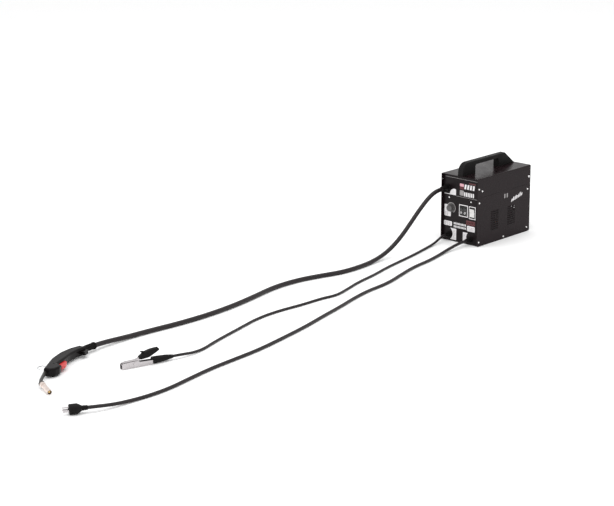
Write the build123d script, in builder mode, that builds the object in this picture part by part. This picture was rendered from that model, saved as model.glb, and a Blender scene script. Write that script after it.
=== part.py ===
"""Small flux-core wire welder: sheet case, wire feed, torch, earth clamp and mains lead.

Millimetres, +Z up. The origin is the middle of the case's underside; the front faces -Y,
and the vented side is +X. The torch, the earth clamp and the plug lie on the same floor.
"""
import os
from math import cos, pi, radians, sin, tan

from build123d import *

# ---- driving dimensions: the case --------------------------------------------------------------
case_width = 173.0
case_length = 326.0
case_height = 260.0
sheet = 1.2
bend_radius = 3.0
front_recess = 12.0
rear_recess = 6.0
flange = 14.0
panel_flange = 10.0
fit_gap = 0.3
seam_gap = 0.6
right_skirt_height = 72.0
left_skirt_height = 24.0
panel_clearance = 1.0
panel_corner_radius = 7.0
joggle = 8.0

# ---- left door, its opening and its hinges -----------------------------------------------------
door_low = 66.0
door_high = 226.0
door_front = -138.0
door_rear = 136.0
door_gap = 1.0
door_return = 8.0
hinge_pin_r = 1.5
hinge_knuckle_r = 3.2
hinge_height = 36.0
hinge_leaf = 14.0
running_fit = 0.05

# ---- louvres -----------------------------------------------------------------------------------
louvre_length = 45.0
louvre_slot = 3.0
louvre_pitch = 8.5
louvre_rise = 1.8
louvre_drop = 2.0
louvre_count = 9
louvre_low = 52.0
louvre_columns = (-55.5, 46.5)
left_louvre_count = 4
left_louvre_low = 20.0

# ---- carrying handle ---------------------------------------------------------------------------
handle_width = 25.0
handle_rise = 48.0
handle_front = -160.0
handle_rear = 158.0
handle_slope_top = 98.0
grip_front = -84.0
grip_rear = 58.0
grip_corner = 9.0
grip_height = 33.5
handle_nose_radius = 34.0
handle_edge = 3.0
handle_wall = 4.0
foot_hollow = (34.0, 12.0)

# ---- front panel fittings (x, z on the panel) --------------------------------------------------
half_w = case_width / 2
half_l = case_length / 2
torch_outlet = (20.5 - half_w, 203.0)
earth_outlet = (29.5 - half_w, 24.0)
mains_outlet = (half_w - 40.5, 21.0)
knob_place = (40.5 - half_w, 129.0)
rocker_places = (3.0, 21.0)
power_place = (half_w - 32.5, 124.5)
rocker_level = 126.0
rocker_size = (12.6, 27.0)
power_size = (21.0, 34.0)
bezel = 1.4
rocker_play = 0.3
rocker_wall = 0.5
rocker_margin = 2 * (rocker_play + rocker_wall)
rocker_cut = rocker_margin + 2 * fit_gap
rocker_pivot_r = 1.5
rocker_pivot_depth = 5.0
knob_radius = 16.0
knob_height = 15.0
knob_shaft_r = 3.0
screw_r = 3.4
screw_head = 1.6

# ---- cords: each corner as x, distance in front of the panel, and height -----------------------
torch_gland_length = 35.0
earth_gland_length = 21.0
mains_gland_length = 25.0
torch_cable_d = 16.0
torch_rest = torch_cable_d / 2 + 0.2
torch_cable_route = [
    (torch_outlet[0], torch_gland_length, torch_outlet[1]), (torch_outlet[0], 65, torch_outlet[1]),
    (-66, 111, 185), (-67, 167, 145), (-69, 221, 98), (-70, 277, 55), (-69, 341, 24), (-63, 417, 9),
    (-52, 509, torch_rest), (-54, 604, torch_rest), (-82, 689, torch_rest), (-106, 784, torch_rest),
    (-108, 899, torch_rest), (-84, 1014, torch_rest), (-63, 1139, torch_rest), (-54, 1269, torch_rest),
    (-60, 1399, torch_rest), (-74, 1504, torch_rest), (-79.5, 1594, 9), (-80, 1664, 13),
    (-77.5, 1707, 16), (-74.5, 1740, 17)]
earth_cable_d = 9.0
earth_rest = earth_cable_d / 2 + 0.3
earth_cable_route = [
    (earth_outlet[0], earth_gland_length, earth_outlet[1]), (earth_outlet[0], 39, earth_outlet[1]),
    (-56, 63, 14), (-50, 105, 5.3), (-37, 161, earth_rest), (-16, 249, earth_rest),
    (2, 349, earth_rest), (19, 446, earth_rest), (46, 549, earth_rest), (62, 649, earth_rest),
    (92, 747, earth_rest), (108, 814, earth_rest), (95, 874, earth_rest), (94, 969, earth_rest),
    (82, 1067, earth_rest), (86, 1174, earth_rest), (116, 1289, earth_rest), (134, 1361, earth_rest),
    (154, 1437, earth_rest), (178, 1509, earth_rest), (183, 1561, 7)]
mains_cord_d = 11.0
mains_rest = mains_cord_d / 2 + 0.15
plug_radius = 15.5
plug_rest = plug_radius + 0.4
mains_cord_route = [
    (mains_outlet[0], mains_gland_length, mains_outlet[1]), (mains_outlet[0], 47, mains_outlet[1]),
    (45, 87, 16.5), (44.5, 136, 8.2), (57, 194, mains_rest), (76, 274, mains_rest),
    (88, 377, mains_rest), (112, 467, mains_rest), (139, 557, mains_rest), (151, 624, mains_rest),
    (156, 699, mains_rest), (174, 789, mains_rest), (204, 894, mains_rest), (231, 1009, mains_rest),
    (264, 1134, mains_rest), (290, 1269, mains_rest), (312, 1394, mains_rest), (320, 1509, mains_rest),
    (327, 1619, mains_rest), (345, 1729, mains_rest), (361, 1819, mains_rest), (363, 1904, mains_rest),
    (355, 1979, 6.5), (350, 2031, 10.5), (343, 2074.9, plug_rest), (325.5, 2105.2, plug_rest)]

# ---- wire feed and spool -----------------------------------------------------------------------
divider_x = 52.5 - half_w
feed_plane_x = torch_outlet[0]
feed_y = -95.0
drive_roll_r = 14.0
pressure_roll_r = 10.0
wire_d = 0.9
roll_width = 12.0
shaft_r = 3.0
arm_pivot = (-124.0, 214.0)
arm_pin_r = 3.0
arm_end_y = -66.0
arm_offset = 10.0
arm_width = 8.0
tension_place = (-74.0, 217.0)
spool_centre = (45.0, 146.0)
spool_r = 50.0
spool_width = 36.0
spool_hub_r = 14.0
spindle_r = 8.0
coil_r = 43.0

# ---- transformer, board and fan ----------------------------------------------------------------
core_size = (42.0, 100.0, 84.0)
core_centre = (half_w - 60.5, 14.0, 50.0)
core_limb = 20.0
board_size = (1.6, 70.0, 46.0)
fan_centre = (half_w - 56.5, 120.0)
fan_ring_r = 52.0
fan_blade_r = 47.0
fan_ring_depth = 26.0
fan_motor_r = 17.0
fan_blades = 5

# ---- torch, in its own plane -------------------------------------------------------------------
torch_foot_ahead = (-64.0, 1795.0, 19.0)
torch_heading = (0.334, -0.943)
torch_roll = 6.5
torch_half = 14.0
shell_wall = 2.6
shell_edge = 6.5
sleeve_r = 10.5
neck_r = 5.4
neck_bend_r = 64.0
nozzle_r = 7.6
nozzle_bore_r = 5.6
nozzle_length = 62.0
trigger_pivot = (159.0, 3.0)
trigger_width = 11.0

# ---- earth clamp, in its own plane -------------------------------------------------------------
clamp_nose_ahead = (121.0, 1800.0, 0.3)
clamp_heading = (0.285, 0.958)
clamp_width = 17.0
clamp_sheet = 1.6
clamp_pivot = (44.0, 12.0)
clamp_body_length = 104.0
clamp_length = 175.0
clamp_axis = 11.5
rivet_r = 3.0
lever_half = 5.5
grip_half = 8.0
grip_edge = 3.0
ear_half = 5.0
spring_r = 4.0
spring_wire_r = 0.6

# ---- plug --------------------------------------------------------------------------------------
plug_relief = 19.0
plug_length = 36.0
blade = (1.5, 6.3, 18.0)
blade_spacing = 12.7
earth_pin_r = 2.4

inner_w = half_w - sheet
panel_y = -half_l + front_recess
rear_y = half_l - rear_recess
torch_foot = (torch_foot_ahead[0], panel_y - torch_foot_ahead[1], torch_foot_ahead[2])
clamp_nose = (clamp_nose_ahead[0], panel_y - clamp_nose_ahead[1], clamp_nose_ahead[2])

os.makedirs("parts", exist_ok=True)


def save(piece, name):
    piece.part.label = name
    export_step(piece.part, f"parts/{name}.step")


def laid_out(route):
    """Corners given by their distance in front of the panel, as points of the shared frame."""
    return [Vector(x, panel_y - ahead, z) for x, ahead, z in route]


def front_plane(x, z, out=0.0):
    """Plane on the front panel's face at (x, z), its normal pointing forwards."""
    return Plane(origin=(x, panel_y - out, z), x_dir=(1, 0, 0), z_dir=(0, -1, 0))


def rear_plane(x, z, inwards=0.0):
    """Plane on the rear panel's outer face at (x, z), its normal pointing forwards."""
    return Plane(origin=(x, rear_y - inwards, z), x_dir=(1, 0, 0), z_dir=(0, -1, 0))


def side_plane(x, y, z, way=1):
    """Plane facing +X or -X at a point, its x axis along +Y or -Y."""
    return Plane(origin=(x, y, z), x_dir=(0, way, 0), z_dir=(way, 0, 0))


# ==== case: base, front and rear ================================================================
base_half = inner_w - fit_gap
base_front = panel_y
base_rear = rear_y - sheet
base_mid = (base_front + base_rear) / 2
base_length = base_rear - base_front
flange_margin = flange + 2.0

with BuildPart() as base_pan:
    with BuildSketch(Plane.XY):
        with Locations((0, base_mid)):
            Rectangle(2 * base_half, base_length)
    extrude(amount=sheet)
    for side in (-1, 1):
        with BuildSketch(Plane.XY.offset(sheet)):
            with Locations((side * (base_half - sheet / 2), base_mid)):
                Rectangle(sheet, base_length - 2 * flange_margin)
        extrude(amount=flange)
    with BuildSketch(Plane.XY.offset(sheet)):
        with Locations((-60, 0)):
            with GridLocations(0, 26, 1, 6):
                SlotOverall(36, 5)
    extrude(amount=-sheet, mode=Mode.SUBTRACT)
save(base_pan, "base_pan")

front_top = case_height - sheet - fit_gap
panel_mid = (front_top + sheet) / 2
gland_bore_r = 9.0
mains_bore_r = 7.0
torch_bore_r = 12.0

with BuildPart() as front_panel:
    with BuildSketch(front_plane(0, panel_mid)):
        Rectangle(2 * base_half, front_top - sheet)
    extrude(amount=-sheet)
    for side in (-1, 1):
        with BuildSketch(front_plane(side * (base_half - sheet / 2), panel_mid, -sheet)):
            Rectangle(sheet, front_top - sheet)
        extrude(amount=-panel_flange)
    with BuildSketch(front_plane(0, 0)):
        with Locations(torch_outlet):
            Circle(torch_bore_r)
        with Locations(earth_outlet):
            Circle(gland_bore_r)
        with Locations(mains_outlet):
            Circle(mains_bore_r)
        with Locations(knob_place):
            Circle(knob_shaft_r + 1)
        with Locations(*[(x, rocker_level) for x in rocker_places]):
            Rectangle(rocker_size[0] + rocker_cut, rocker_size[1] + rocker_cut)
        with Locations(power_place):
            Rectangle(power_size[0] + rocker_cut, power_size[1] + rocker_cut)
    extrude(amount=-sheet, mode=Mode.SUBTRACT)
save(front_panel, "front_panel")

with BuildPart() as rear_panel:
    with BuildSketch(rear_plane(0, panel_mid)):
        Rectangle(2 * base_half, front_top - sheet)
    extrude(amount=sheet)
    for side in (-1, 1):
        with BuildSketch(rear_plane(side * (base_half - sheet / 2), panel_mid, sheet)):
            Rectangle(sheet, front_top - sheet)
        extrude(amount=flange)
    with BuildSketch(rear_plane(*fan_centre)):
        with GridLocations(0, 9.5, 1, 9):
            SlotOverall(86, 4.5)
        Circle(fan_blade_r - 1, mode=Mode.INTERSECT)
    extrude(amount=sheet, mode=Mode.SUBTRACT)
save(rear_panel, "rear_panel")

# ==== case: wrap-over cover =====================================================================
right_skirt_low = case_height - right_skirt_height
left_skirt_low = case_height - left_skirt_height
cover_plane = Plane(origin=(0, half_l, 0), x_dir=(1, 0, 0), z_dir=(0, -1, 0))

with BuildPart() as top_cover:
    with BuildSketch(cover_plane):
        with Locations((0, case_height / 2)):
            outline = Rectangle(case_width, case_height)
        fillet(outline.vertices().group_by(Axis.Y)[-1], bend_radius)
        with Locations((0, case_height / 2 - sheet)):
            Rectangle(2 * inner_w, case_height, mode=Mode.SUBTRACT)
        with Locations((half_w, right_skirt_low / 2)):
            Rectangle(case_width, right_skirt_low, mode=Mode.SUBTRACT)
        with Locations((-half_w, left_skirt_low / 2)):
            Rectangle(case_width, left_skirt_low, mode=Mode.SUBTRACT)
    extrude(amount=case_length)
save(top_cover, "top_cover")


def louvre_rows(x, way, columns, low, count):
    """Slots with a raised lip over each, on the sheet whose outer face is at x."""
    for y in columns:
        for row in range(count):
            z = low + row * louvre_pitch
            with BuildSketch(Plane.XZ.offset(-(y - louvre_length / 2))) as lip:
                with BuildLine():
                    Polyline((x, z + louvre_slot + 1.4), (x + way * louvre_rise, z + 0.6),
                             (x + way * (louvre_rise - 0.9), z + 0.6), (x, z + louvre_slot), close=True)
                make_face()
            extrude(lip.sketch, amount=-louvre_length)
            with BuildSketch(side_plane(x, y, z + (louvre_slot - louvre_drop) / 2)) as slot:
                Rectangle(louvre_length - 2, louvre_slot + louvre_drop)
            extrude(slot.sketch, amount=-way * sheet, mode=Mode.SUBTRACT)


panel_top = right_skirt_low - seam_gap

with BuildPart() as right_side_panel:
    with BuildSketch(side_plane(half_w, 0, 0)):
        with Locations((0, (panel_top + panel_clearance) / 2)):
            sheet_outline = Rectangle(case_length, panel_top - panel_clearance)
        fillet(sheet_outline.vertices().group_by(Axis.Y)[0], panel_corner_radius)
    extrude(amount=-sheet)
    with BuildSketch(side_plane(half_w - sheet, 0, panel_top)):
        Rectangle(case_length - 2 * flange_margin - 30, 2 * joggle)
    extrude(amount=-sheet)
    louvre_rows(half_w, 1, louvre_columns, louvre_low, louvre_count)
save(right_side_panel, "right_side_panel")

left_top = left_skirt_low - seam_gap
door_mid = ((door_front + door_rear) / 2, (door_low + door_high) / 2)

with BuildPart() as left_side_panel:
    with BuildSketch(side_plane(-half_w, 0, 0, -1)):
        with Locations((0, (left_top + panel_clearance) / 2)):
            left_outline = Rectangle(case_length, left_top - panel_clearance)
        fillet(left_outline.vertices().group_by(Axis.Y)[0], panel_corner_radius)
        with Locations((-door_mid[0], door_mid[1])):
            Rectangle(door_rear - door_front, door_high - door_low, mode=Mode.SUBTRACT)
    extrude(amount=-sheet)
    louvre_rows(-half_w, -1, louvre_columns, left_louvre_low, left_louvre_count)
save(left_side_panel, "left_side_panel")

# ==== left door and its hinges ==================================================================
hinge_axis = (-half_w - hinge_knuckle_r - 0.2, door_rear + door_gap)
hinge_lows = (door_low + 16, door_high - 16 - hinge_height)
knuckle_third = hinge_height / 3
leaf_clear = hinge_knuckle_r + 0.6


def hinge_knuckle(low, height, bore_r, way):
    """One knuckle round the hinge line with a strap of leaf towards +Y or -Y."""
    x, y = hinge_axis
    with BuildSketch(Plane.XY.offset(low)) as knuckle:
        with Locations((x, y)):
            Circle(hinge_knuckle_r)
        with Locations((-half_w - sheet / 2, y + way * leaf_clear / 2)):
            Rectangle(sheet, leaf_clear)
        with Locations((x, y)):
            Circle(bore_r, mode=Mode.SUBTRACT)
    extrude(knuckle.sketch, amount=height)


def hinge_leaf_plate(low, way):
    """The flat of a hinge leaf, full height, clear of the other leaf's knuckle."""
    y = hinge_axis[1] + way * (leaf_clear + hinge_leaf / 2)
    with BuildSketch(Plane.XY.offset(low)) as leaf:
        with Locations((-half_w - sheet / 2, y)):
            Rectangle(sheet, hinge_leaf)
    extrude(leaf.sketch, amount=hinge_height)


with BuildPart() as hinge_leaves:
    for low in hinge_lows:
        for knuckle_low in (low, low + 2 * knuckle_third):
            hinge_knuckle(knuckle_low, knuckle_third, hinge_pin_r - 0.2, 1)
        hinge_leaf_plate(low, 1)
        with BuildSketch(Plane.XY.offset(low)):
            with Locations(hinge_axis):
                Circle(hinge_pin_r)
        extrude(amount=hinge_height)
save(hinge_leaves, "hinge_leaves")

with BuildPart() as wire_door:
    with BuildSketch(side_plane(-half_w, 0, 0, -1)):
        with Locations((-door_mid[0], door_mid[1])):
            Rectangle(door_rear - door_front - 2 * door_gap, door_high - door_low - 2 * door_gap)
    extrude(amount=-sheet)
    for z in (door_low + door_gap + sheet / 2, door_high - door_gap - sheet / 2):
        with BuildSketch(side_plane(-inner_w, 0, z, -1)):
            with Locations((-door_mid[0] + door_return, 0)):
                Rectangle(door_rear - door_front - 2 * door_gap - 2 * door_return, sheet)
        extrude(amount=-door_return)
    with BuildSketch(side_plane(-inner_w, door_front + door_gap + sheet / 2, door_mid[1], -1)):
        Rectangle(sheet, door_high - door_low - 2 * door_gap)
    extrude(amount=-door_return)
    for low in hinge_lows:
        hinge_knuckle(low + knuckle_third + fit_gap, knuckle_third - 2 * fit_gap,
                      hinge_pin_r + running_fit, -1)
        hinge_leaf_plate(low, -1)
save(wire_door, "wire_door")

with BuildPart() as door_pull:
    with BuildSketch(side_plane(-half_w, door_front + 16, door_mid[1], -1)):
        RectangleRounded(12, 44, 5)
    extrude(amount=3)
    with BuildSketch(side_plane(-half_w - 3, door_front + 16, door_mid[1], -1)):
        RectangleRounded(7, 38, 3)
    extrude(amount=9)
    fillet(door_pull.faces().sort_by(Axis.X)[0].edges(), 2.5)
save(door_pull, "door_pull")

# ==== carrying handle ===========================================================================
handle_base = case_height
handle_top = handle_base + handle_rise
handle_plane = Plane(origin=(handle_width / 2, 0, 0), x_dir=(0, 1, 0), z_dir=(1, 0, 0))

with BuildPart() as carry_handle:
    with BuildSketch(handle_plane):
        with BuildLine():
            FilletPolyline((handle_front, handle_base), (handle_front + 6, handle_top),
                           (handle_slope_top, handle_top), (handle_rear, handle_base),
                           radius=(handle_nose_radius, 5))
            Line((handle_rear, handle_base), (handle_front, handle_base))
        make_face()
    extrude(amount=-handle_width)
    side_edges = carry_handle.faces().filter_by(Axis.X).edges()
    fillet(side_edges.filter_by(lambda edge: edge.center().Z > handle_base + 1), handle_edge)
    with BuildSketch(handle_plane):
        with Locations(((grip_front + grip_rear) / 2, handle_base + grip_height / 2)):
            Rectangle(grip_rear - grip_front, grip_height)
        fillet(vertices().group_by(Axis.Y)[-1], grip_corner)
    extrude(amount=-handle_width, mode=Mode.SUBTRACT)
    with BuildSketch(Plane.XY.offset(handle_base)):
        with Locations((0, (handle_front + grip_front) / 2), (0, (handle_slope_top + grip_rear) / 2 + 24)):
            Rectangle(handle_width - 2 * handle_wall, foot_hollow[0])
    extrude(amount=foot_hollow[1], mode=Mode.SUBTRACT)
save(carry_handle, "carry_handle")

# ==== screws: cover and side panel, then front panel ============================================
side_screws = [(-half_l + 9, 221), (-half_l + 29, 211), (-half_l + 12, 168), (-half_l + 12, 17),
               (0, 10), (half_l - 18, 17), (half_l - 17, 168)]
left_screws = side_screws[3:6]
rear_screws = [(x, z) for x in (-64, 64) for z in (22, 200)]
cover_back_screw = (half_l - 10, 216)
panel_screws = [(-56, 168), (48, 166)]


def screw_row(planes, radius):
    """A low domed head with a cross recess on each plane."""
    for plane in planes:
        with BuildSketch(plane) as head:
            Circle(radius)
        extrude(head.sketch, amount=screw_head, taper=25)
        with BuildSketch(plane.offset(screw_head)) as recess:
            Rectangle(radius * 1.1, 0.7)
            Rectangle(0.7, radius * 1.1)
        extrude(recess.sketch, amount=-0.8, mode=Mode.SUBTRACT)


with BuildPart() as case_screws:
    screw_row([side_plane(half_w, y, z) for y, z in side_screws], screw_r)
    screw_row([side_plane(half_w, *cover_back_screw)], screw_r + 1.2)
    screw_row([side_plane(-half_w, y, z, -1) for y, z in left_screws], screw_r)
    screw_row([front_plane(x, z) for x, z in panel_screws], screw_r)
    screw_row([-rear_plane(x, z) for x, z in rear_screws], screw_r)
save(case_screws, "case_screws")

# ==== front fittings: glands ====================================================================
def gland(place, bore_r, flange_r, length, tip_r, name, tail=12.0):
    """A round flange, a threaded tail through the panel, and a tapered nose towards the cord."""
    x, z = place
    with BuildPart() as piece:
        with BuildSketch(front_plane(x, z)):
            Circle(flange_r)
        extrude(amount=5)
        fillet(piece.edges().group_by(Axis.Y)[0], 1.2)
        with BuildSketch(front_plane(x, z, 5)):
            RegularPolygon(flange_r - 1.5, 6)
        extrude(amount=6)
        with BuildSketch(front_plane(x, z, 11)):
            Circle(flange_r - 3.2)
        with BuildSketch(front_plane(x, z, length)):
            Circle(tip_r)
        loft()
        with BuildSketch(front_plane(x, z)):
            Circle(bore_r - fit_gap)
        extrude(amount=-tail)
        with BuildSketch(front_plane(x, z, -sheet)):
            RegularPolygon(bore_r + 3.5, 6)
            Circle(bore_r - fit_gap, mode=Mode.SUBTRACT)
        extrude(amount=-4)
    save(piece, name)


gland(torch_outlet, torch_bore_r, 15.5, torch_gland_length, torch_cable_d / 2 + 2.2, "torch_gland")
gland(earth_outlet, gland_bore_r, 11.5, earth_gland_length, earth_cable_d / 2 + 2.0, "earth_gland")
gland(mains_outlet, mains_bore_r, 11.0, mains_gland_length, mains_cord_d / 2 + 1.6, "mains_gland")

# ==== front fittings: speed control and rockers =================================================
with BuildPart() as potentiometer:
    with BuildSketch(front_plane(*knob_place, -sheet)):
        Circle(12)
    extrude(amount=-13)
    with BuildSketch(front_plane(*knob_place, -sheet - 6)):
        with Locations((0, -15)):
            Rectangle(16, 8)
    extrude(amount=-1.6)
save(potentiometer, "potentiometer")

with BuildPart() as speed_knob:
    with BuildSketch(front_plane(*knob_place, 0.5)):
        Circle(knob_radius)
    extrude(amount=3)
    with BuildSketch(front_plane(*knob_place, 3.5)):
        Circle(knob_radius - 3)
    extrude(amount=knob_height - 3, taper=4)
    fillet(speed_knob.faces().sort_by(Axis.Y)[0].edges(), 1.2)
    with BuildSketch(front_plane(*knob_place, 5)):
        with PolarLocations(knob_radius - 2.6, 18):
            Circle(1.1)
    extrude(amount=knob_height - 6, mode=Mode.SUBTRACT)
    with BuildSketch(front_plane(*knob_place, knob_height + 0.5)):
        with Locations((0, knob_radius / 2 - 1)):
            Rectangle(1.6, knob_radius - 6)
    extrude(amount=-0.8, mode=Mode.SUBTRACT)
    with BuildSketch(front_plane(*knob_place, 0.5)):
        Circle(knob_shaft_r)
    extrude(amount=-(sheet + 0.4))
save(speed_knob, "speed_knob")

rocker_depth = 14.0
terminal = (4.8, 0.8, 8.0)


def rocker_pivot(x, z, reach):
    """Plane at one end of a rocker's pivot line, which lies behind the panel along X."""
    return Plane(origin=(x - reach, panel_y + rocker_pivot_depth, z), x_dir=(0, 1, 0), z_dir=(1, 0, 0))


def rocker_housing(x, z, size):
    """A snap-in frame with a bezel in front of the panel and a terminal box behind it."""
    wide, tall = size
    hole = (wide + 2 * rocker_play, tall + 2 * rocker_play)
    box = (wide + rocker_margin, tall + rocker_margin)
    with BuildSketch(front_plane(x, z)) as frame:
        Rectangle(box[0] + 2 * bezel, box[1] + 2 * bezel)
        Rectangle(*hole, mode=Mode.SUBTRACT)
    extrude(frame.sketch, amount=bezel)
    with BuildSketch(front_plane(x, z)) as walls:
        Rectangle(*box)
        Rectangle(*hole, mode=Mode.SUBTRACT)
    extrude(walls.sketch, amount=-rocker_depth)
    with BuildSketch(front_plane(x, z, -rocker_depth)) as back:
        Rectangle(*box)
    extrude(back.sketch, amount=-2)
    with BuildSketch(front_plane(x, z, -rocker_depth - 2)) as tabs:
        with GridLocations(0, terminal[2], 1, 3):
            Rectangle(terminal[0], terminal[1])
    extrude(tabs.sketch, amount=-terminal[2])
    with BuildSketch(rocker_pivot(x, z, box[0] / 2)) as bearing:
        Circle(rocker_pivot_r + running_fit)
    extrude(bearing.sketch, amount=box[0], mode=Mode.SUBTRACT)


with BuildPart() as rocker_housings:
    for x in rocker_places:
        rocker_housing(x, rocker_level, rocker_size)
    rocker_housing(*power_place, power_size)
save(rocker_housings, "rocker_housings")


def rocker_button(x, z, size, name):
    """A rocker cap, a shallow V seen from the side, with a round pivot through its foot."""
    wide, tall = size
    high, low = 0.46 * tall, -0.44 * tall
    foot = 0.42 * tall
    with BuildPart() as piece:
        with BuildSketch(Plane(origin=(x - wide / 2, panel_y, z), x_dir=(0, -1, 0), z_dir=(1, 0, 0))):
            with BuildLine():
                Polyline((-6, foot), (2.2, high), (1.2, 0), (4.2, low), (-6, -foot), (-8, 0), close=True)
            make_face()
        extrude(amount=wide)
        fillet(piece.edges().filter_by(Axis.X).group_by(Axis.Y)[0], 0.6)
        with BuildSketch(rocker_pivot(x, z, (wide + rocker_margin) / 2)):
            Circle(rocker_pivot_r)
        extrude(amount=wide + rocker_margin)
    save(piece, name)


rocker_button(rocker_places[0], rocker_level, rocker_size, "range_rocker")
rocker_button(rocker_places[1], rocker_level, rocker_size, "step_rocker")
rocker_button(*power_place, power_size, "power_rocker")

# ==== inside: divider, board, transformer =======================================================
divider_rear = rear_y - sheet - flange - 4
divider_front = panel_y + sheet + 1
divider_height = case_height - sheet - 4
divider_length = divider_rear - divider_front
divider_y = (divider_rear + divider_front) / 2

with BuildPart() as divider_plate:
    with BuildSketch(side_plane(divider_x, divider_y, (divider_height + sheet) / 2)):
        Rectangle(divider_length, divider_height - sheet)
    extrude(amount=sheet)
    with BuildSketch(Plane.XY.offset(sheet)):
        with Locations((divider_x + flange / 2, divider_y)):
            Rectangle(flange, divider_length)
    extrude(amount=sheet)
    with BuildSketch(side_plane(divider_x, 0, 0)):
        with Locations((feed_y, torch_outlet[1] - wire_d / 2 - drive_roll_r)):
            Circle(7)
        with Locations(spool_centre):
            Circle(5)
    extrude(amount=sheet, mode=Mode.SUBTRACT)
save(divider_plate, "divider_plate")

board_x = divider_x + sheet + 8
board_y, board_z = 45.0, 178.0

with BuildPart() as control_board:
    with BuildSketch(side_plane(board_x, board_y, board_z)):
        Rectangle(board_size[1], board_size[2])
    extrude(amount=board_size[0])
    with BuildSketch(side_plane(divider_x + sheet, board_y, board_z)):
        with GridLocations(board_size[1] - 8, board_size[2] - 8, 2, 2):
            Circle(3)
    extrude(amount=8)
    with BuildSketch(side_plane(board_x + board_size[0], board_y, board_z)):
        with Locations((-20, 8)):
            Rectangle(18, 16)
        with Locations((8, -10)):
            Rectangle(26, 8)
    extrude(amount=14)
    with BuildSketch(side_plane(board_x + board_size[0], board_y, board_z)):
        with Locations((14, 10), (26, 10)):
            Circle(5)
    extrude(amount=20)
save(control_board, "control_board")

core_x, core_y, core_z = core_centre
window = ((core_size[1] - 2 * core_limb - core_limb * 1.4) / 2, core_size[2] - 2 * core_limb)
window_y = core_limb * 0.7 + window[0] / 2

with BuildPart() as transformer_core:
    with BuildSketch(side_plane(core_x - core_size[0] / 2, core_y, core_z)):
        Rectangle(core_size[1], core_size[2])
        with Locations((-window_y, 0), (window_y, 0)):
            Rectangle(*window, mode=Mode.SUBTRACT)
    extrude(amount=core_size[0])
    for y in (core_y - core_size[1] / 2 + 8, core_y + core_size[1] / 2 - 8):
        with BuildSketch(Plane.XY.offset(sheet)):
            with Locations((core_x, y)):
                Rectangle(core_size[0] + 24, 14)
        extrude(amount=core_z - core_size[2] / 2 - sheet)
save(transformer_core, "transformer_core")

coil_gap = 0.5
winding_rise = 2 * (window[0] - 1)
with BuildPart() as transformer_windings:
    for z in (core_z - window[1] / 4, core_z + window[1] / 4):
        with BuildSketch(Plane.XY.offset(z - window[1] / 4 + coil_gap)):
            with Locations((core_x, core_y)):
                RectangleRounded(core_size[0] + winding_rise, core_limb * 1.4 + winding_rise, 9)
                Rectangle(core_size[0] + 2 * coil_gap, core_limb * 1.4 + 2 * coil_gap, mode=Mode.SUBTRACT)
        extrude(amount=window[1] / 2 - 2 * coil_gap)
save(transformer_windings, "transformer_windings")

# ==== inside: fan ===============================================================================

def fan_plane(behind):
    """Plane across the fan's axis, a distance in front of the rear panel."""
    return rear_plane(*fan_centre, sheet + behind)


with BuildPart() as fan_shroud:
    with BuildSketch(fan_plane(0)):
        Circle(fan_ring_r)
        Circle(fan_ring_r - 3, mode=Mode.SUBTRACT)
    extrude(amount=fan_ring_depth)
    with BuildSketch(fan_plane(fan_ring_depth)):
        Circle(fan_ring_r)
        Circle(fan_ring_r - 3, mode=Mode.SUBTRACT)
        Rectangle(2 * fan_ring_r - 3, 12)
        Circle(fan_motor_r - 6, mode=Mode.SUBTRACT)
    extrude(amount=3)
save(fan_shroud, "fan_shroud")

with BuildPart() as fan_motor:
    with BuildSketch(fan_plane(fan_ring_depth + 3)):
        Circle(fan_motor_r)
    extrude(amount=22)
    with BuildSketch(fan_plane(fan_ring_depth - 10)):
        Circle(2)
    extrude(amount=16)
save(fan_motor, "fan_motor")

with BuildPart() as fan_rotor:
    with BuildSketch(fan_plane(6)):
        Circle(14)
    extrude(amount=16)
    for blade_angle in range(0, 360, 360 // fan_blades):
        blade_plane = Plane(fan_plane(14).location * Location((0, 0, 0), (0, 0, blade_angle)))
        across = Plane(origin=blade_plane.from_local_coords((13, 0, 0)), x_dir=blade_plane.y_dir,
                       z_dir=blade_plane.x_dir)
        tip = Plane(origin=blade_plane.from_local_coords((fan_blade_r, 0, 0)), x_dir=blade_plane.y_dir,
                    z_dir=blade_plane.x_dir)
        with BuildSketch(across):
            Rectangle(15, 1.6, rotation=38)
        with BuildSketch(tip):
            Rectangle(24, 1.6, rotation=22)
        loft()
    with BuildSketch(fan_plane(fan_ring_depth - 10)):
        Circle(2 + running_fit)
    extrude(amount=6, mode=Mode.SUBTRACT)
save(fan_rotor, "fan_rotor")

# ==== inside: feed motor, feeder and rolls ======================================================
wire_z = torch_outlet[1]
drive_z = wire_z - wire_d / 2 - drive_roll_r
press_z = wire_z + wire_d / 2 + pressure_roll_r
base_plate = 6.0
base_face = divider_x - base_plate
base_margin = 14.0
base_low_y = feed_y - 50.0
base_high_y = arm_end_y + base_margin
gearbox = (24.0, 40.0)
motor_can = (17.0, 48.0)
motor_bore_depth = 10.0
axle_r = 2.5
cap = 1.5
guide_bore_r = 1.5
guide_height = 7.0
guide_spans = ((-137.0, -112.0), (-64.0, -54.0))

with BuildPart() as feed_motor:
    with BuildSketch(side_plane(divider_x + sheet, feed_y, drive_z)):
        RectangleRounded(gearbox[1], gearbox[1], 5)
    extrude(amount=gearbox[0])
    with BuildSketch(side_plane(divider_x + sheet + gearbox[0], feed_y, drive_z)):
        Circle(motor_can[0])
    extrude(amount=motor_can[1])
    with BuildSketch(side_plane(divider_x + sheet, feed_y, drive_z)):
        Circle(shaft_r + running_fit)
    extrude(amount=motor_bore_depth, mode=Mode.SUBTRACT)
save(feed_motor, "feed_motor")

arm_x = feed_plane_x + arm_offset
arm_y, arm_z = arm_pivot

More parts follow.
